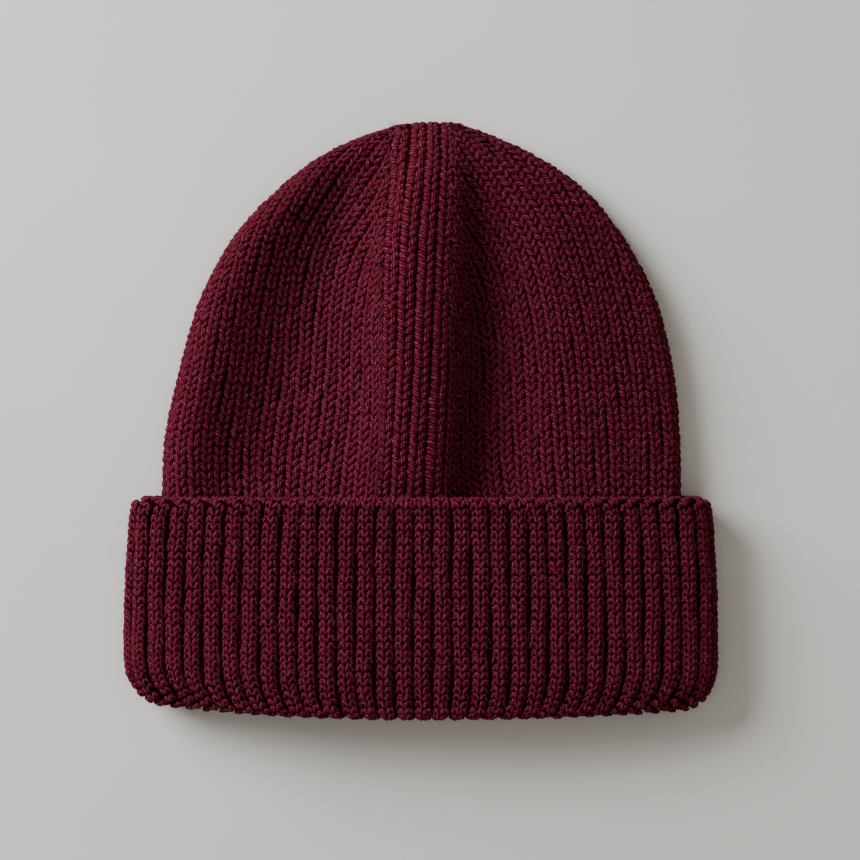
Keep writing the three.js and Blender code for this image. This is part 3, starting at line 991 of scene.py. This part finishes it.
def knit_crown(cloths):
    chance = np.random.default_rng(CROWN_SEED)
    lines = crown_lines()
    halves = [CrownHalf(lines, 0), CrownHalf(lines, 1)]
    for half, name in zip(halves, ("left", "right")):
        knit_crown_half(cloths, half, name, chance)
    for under in (False, True):
        sheet = band_sheet(halves, under)
        wale, row = stitch_places(sheet, np.array(BAND_RIBS))
        keep = sheet.at(wale, row)[0][:, 1] < LAST_BAND_Y
        wale, row, leg = all_legs(wale[keep], row[keep], BAND_KNIT)
        cloth = cloths["crown_underside" if under else "crown_stitches_middle"]
        add_legs(cloth, sheet, wale, row, leg, BAND_KNIT, not under, chance)


def knit_cuff(cloths):
    chance = np.random.default_rng(CUFF_SEED)
    sheet = cuff_sheet()
    add_fuzz(cloths["cuff_fuzz"], sheet, CUFF_FUZZ, rib_span=(0, CUFF_RIBS),
             row_span=(HEM_TO / CUFF_ROW / 2, sheet.v[-1] - FUZZ_TOP_ROWS), sides_share=0.7,
             chance=np.random.default_rng(CUFF_FUZZ_SEED))
    rows = np.arange(1, int(sheet.v[-1])) - CUFF_ROW_SHIFT
    rib, row = (x.ravel() for x in np.meshgrid(np.arange(CUFF_RIBS) + 0.0, rows, indexing="ij"))
    wale = rib + sway(rib, row, CUFF_SWAY)
    edge, hem = row * CUFF_ROW > EDGE_FROM, row * CUFF_ROW < HEM_TO
    for knit, part in ((CUFF_KNIT, ~edge & ~hem), (EDGE_KNIT, edge), (HEM_KNIT, hem)):
        leg_wale, leg_row, leg = all_legs(wale[part], row[part], knit)
        seen = tops(sheet, leg_wale, leg_row) & (leg_row * CUFF_ROW > HEM_HIDDEN_TO)
        left = np.tile(rib[part], len(knit["legs"])) > CUFF_RIBS / 2
        for name, pick in (("cuff_stitches_left", seen & left),
                           ("cuff_stitches_right", seen & ~left),
                           ("cuff_underside", ~seen)):
            add_legs(cloths[name], sheet, leg_wale[pick], leg_row[pick], leg[pick], knit,
                     name != "cuff_underside", chance)


# ---- the fabric behind the stitches ----

def shell(name, rings, material):
    """A closed wall from rings of equal length: each joins the next and the last the first."""
    rings = np.array(rings)
    count, size = rings.shape[:2]
    index = np.arange(count * size).reshape(count, size)
    around, ahead = np.roll(index, -1, axis=1), np.roll(index, -1, axis=0)
    corner = np.roll(ahead, -1, axis=1)
    quads = np.stack([index, around, corner, ahead], axis=-1).reshape(-1, 4)
    i, j = np.meshgrid(np.arange(count), np.arange(size), indexing="ij")
    i, j = i.reshape(-1, 1), j.reshape(-1, 1)
    spread = np.concatenate([np.stack([(i + a) / count, (j + b) / size], axis=-1)
                             for a, b in ((0, 0), (0, 1), (1, 1), (1, 0))], axis=1)
    return mesh_piece(name, rings.reshape(-1, 3), quads.ravel(), np.full(len(quads), 4), material,
                      {"OFBake": spread.reshape(-1, 2)}, np.zeros(count * size))


def drawn_to_middle(ring, shares):
    """Smaller copies of a ring about its middle."""
    middle = ring.mean(0)
    return [middle + (ring - middle) * share for share in shares]


def crown_backing():
    """Up the crown's outside, a yarn's depth down, closed at the tip, and back down inside."""
    outer = ring_points(crown_section(np.linspace(0, BACKING_TOP, BACKING_OUTER_RINGS)),
                        BACKING_DEPTH)
    inner = ring_points(crown_section(np.linspace(BACKING_INNER_TOP, 0, BACKING_INNER_RINGS)),
                        CROWN_WALL)
    return [*outer, *drawn_to_middle(outer[-1], CLOSING),
            *drawn_to_middle(inner[0], CLOSING[::-1]), *inner]


def cuff_backing():
    """Up the cuff's face, over its top edge, down inside, into the hook and round the fold."""
    turn = np.linspace(0, np.pi, CUFF_BACKING_TURN)[1:-1]
    shallow, deep = CUFF_BACKING_DEPTH, HOOK_DEPTH - BACKING_DEPTH
    face = np.linspace(FOLD_TOP, ROLL_START, CUFF_BACKING_RINGS)
    front = np.minimum(shallow + fold_drop(face), CUFF_WALL - CUFF_BACKING_LEAST)
    y = np.concatenate([face, ROLL_START + (CUFF_ROLL - BACKING_DEPTH / 2) * np.sin(turn),
                        face[::-1], [HOOK_TOP, HOOK_TOP],
                        FOLD_TOP - (FOLD_DEPTH - BACKING_DEPTH) * np.sin(turn)])
    middle, swing = (shallow + CUFF_WALL) / 2, (CUFF_WALL - shallow) / 2
    depth = np.concatenate([front, middle - swing * np.cos(turn),
                            np.full(CUFF_BACKING_RINGS, CUFF_WALL), [CUFF_WALL, deep],
                            (deep + front[0]) / 2 + (deep - front[0]) / 2 * np.cos(turn)])
    return cuff_rings(y, depth)


# ---- making the hat ----

CLOTH_NAMES = (
    "crown_stitches_left", "crown_stitches_middle", "crown_stitches_right", "crown_underside",
    "cuff_stitches_left", "cuff_stitches_right", "cuff_underside",
    "crown_fuzz", "cuff_fuzz",
)
cloths = {name: Cloth() for name in CLOTH_NAMES}
# The crown's wool is the cuff's coloured darker, as painted shade; the cuff's has none.
painted_shade_crown_wool = wool_yarn("burgundy_wool_crown_painted_shade", CROWN_PAINTED_SHADE)
cuff_wool = wool_yarn("burgundy_wool_cuff", 0.0)
fuzz_wool = loose_fibre()
painted_shade_back_wool = backing_cloth("burgundy_wool_back_painted_shade", PAINTED_SHADE_BACK_DARK, PAINTED_SHADE_BACK_LIGHT)
painted_shade_groove_wool = backing_cloth("burgundy_wool_groove_painted_shade", PAINTED_SHADE_GROOVE_DARK, PAINTED_SHADE_GROOVE_LIGHT)
knit_crown(cloths)
knit_cuff(cloths)
pieces = []
for name, cloth in cloths.items():
    yarn_wool = painted_shade_crown_wool if name.startswith("crown") else cuff_wool
    pieces.append(cloth.build(name, fuzz_wool if name.endswith("fuzz") else yarn_wool))
crown_fabric = shell("crown_fabric", crown_backing(), painted_shade_back_wool)
cuff_fabric = shell("cuff_fabric", cuff_backing(), painted_shade_groove_wool)
pieces += [crown_fabric, cuff_fabric]
for piece in pieces:
    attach(piece, "root")
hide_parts("crown")
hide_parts("cuff")

# ---- floor, light and camera ----

bpy.ops.mesh.primitive_plane_add(size=6, location=(0, 0, 0))
floor = bpy.context.object
floor.name = "floor"
floor.data.materials.append(floor_finish())


def lamp(name, size, power, place, colour):
    """A square soft light that faces the hat."""
    data = bpy.data.lights.new(name, "AREA")
    data.size, data.energy, data.color = size, power, colour
    light = bpy.data.objects.new(name, data)
    light.location = place
    aim = -light.location
    light.rotation_euler = aim.to_track_quat("-Z", "Y").to_euler()
    bpy.context.scene.collection.objects.link(light)


lamp("window", size=0.9, power=54, place=(-1.09, 0.74, 0.67), colour=(0.98, 0.99, 1.0))
lamp("sky", size=2.2, power=7, place=(0.2, -0.1, 1.9), colour=(1.0, 0.97, 0.94))
world = bpy.data.worlds.new("room")
bpy.context.scene.world = world
world.use_nodes = True
background = world.node_tree.nodes["Background"].inputs
background["Color"].default_value = (1.0, 0.88, 0.77, 1)
background["Strength"].default_value = 0.35

view = bpy.data.cameras.new("overhead")
view.sensor_width = 36
view.lens = 101
camera = bpy.data.objects.new("overhead", view)
camera.location = (0.0035, -0.0039, 0.9)
bpy.context.scene.collection.objects.link(camera)
bpy.context.scene.camera = camera
